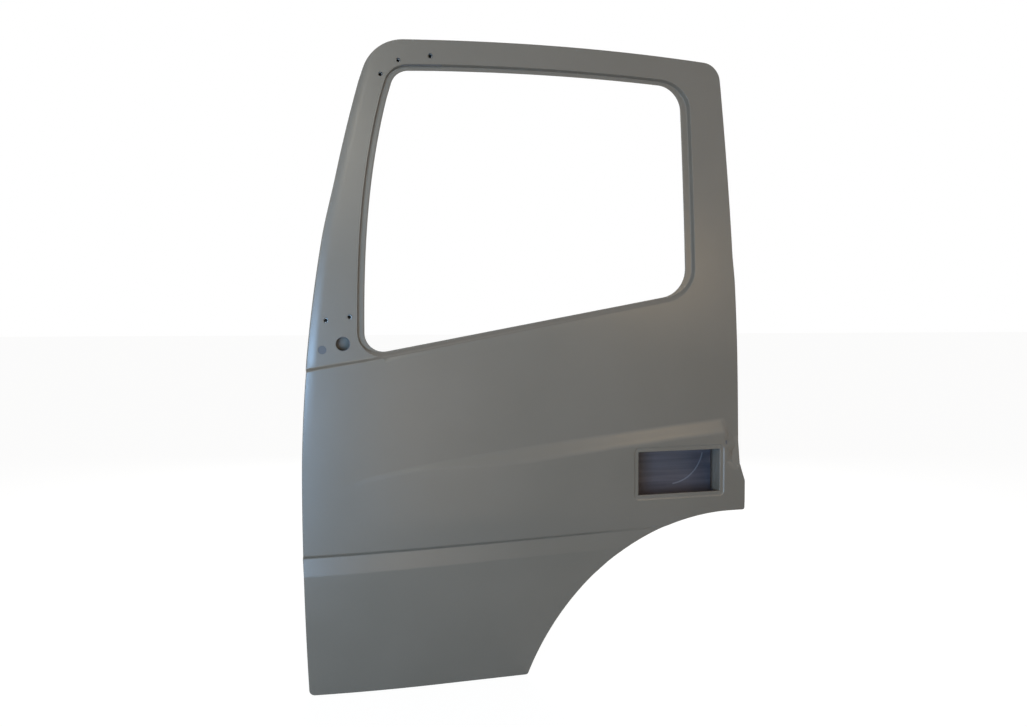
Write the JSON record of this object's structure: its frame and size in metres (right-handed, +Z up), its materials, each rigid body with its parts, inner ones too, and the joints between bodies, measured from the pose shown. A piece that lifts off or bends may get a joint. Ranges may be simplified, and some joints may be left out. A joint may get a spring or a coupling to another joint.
{
  "type": "truck cab door shell",
  "caption": "Left-hand truck cab door shell in primer: hemmed outer skin with window opening and handle aperture, welded inner panel, reinforcements and hinge, latch and mirror fixings.",
  "frame": {"origin": "centre of the upper hinge seat's outer face, on the front shut face", "axes": "-X out of the hinge face towards the front of the cab, +X to the rear, -Y out of the door's outer skin, +Y into the cab, +Z up"},
  "size_m": [1.1729, 0.1111, 1.6],
  "materials": {
    "primer": "satin grey electrodeposited primer on pressed sheet steel",
    "primed_steel": "thin dark primer on welded steel reinforcements",
    "zinc": "zinc-plated weld nuts",
    "foam": "matt anti-flutter rubber foam"
  },
  "bodies": {
    "root": {"outer_skin": "primer", "inner_panel": "primer", "window_frame_inner": "primer", "belt_rail_outer": "primed_steel", "belt_rail_inner": "primed_steel", "impact_beam": "primed_steel", "impact_beam_bracket_front": "primed_steel", "impact_beam_bracket_rear": "primed_steel", "damping_pads": "foam", "handle_frame": "primed_steel", "glass_channel_front": "primed_steel", "glass_channel_rear": "primed_steel", "hinge_pad_upper": "primed_steel", "hinge_pad_lower": "primed_steel", "hinge_nuts_upper": "zinc", "hinge_nuts_lower": "zinc", "check_strap_plate": "primed_steel", "latch_plate": "primed_steel", "mirror_plate_upper": "primed_steel", "mirror_nuts_upper": "zinc", "mirror_plate_lower": "primed_steel", "mirror_nuts_lower": "zinc"}
  },
  "joints": []
}
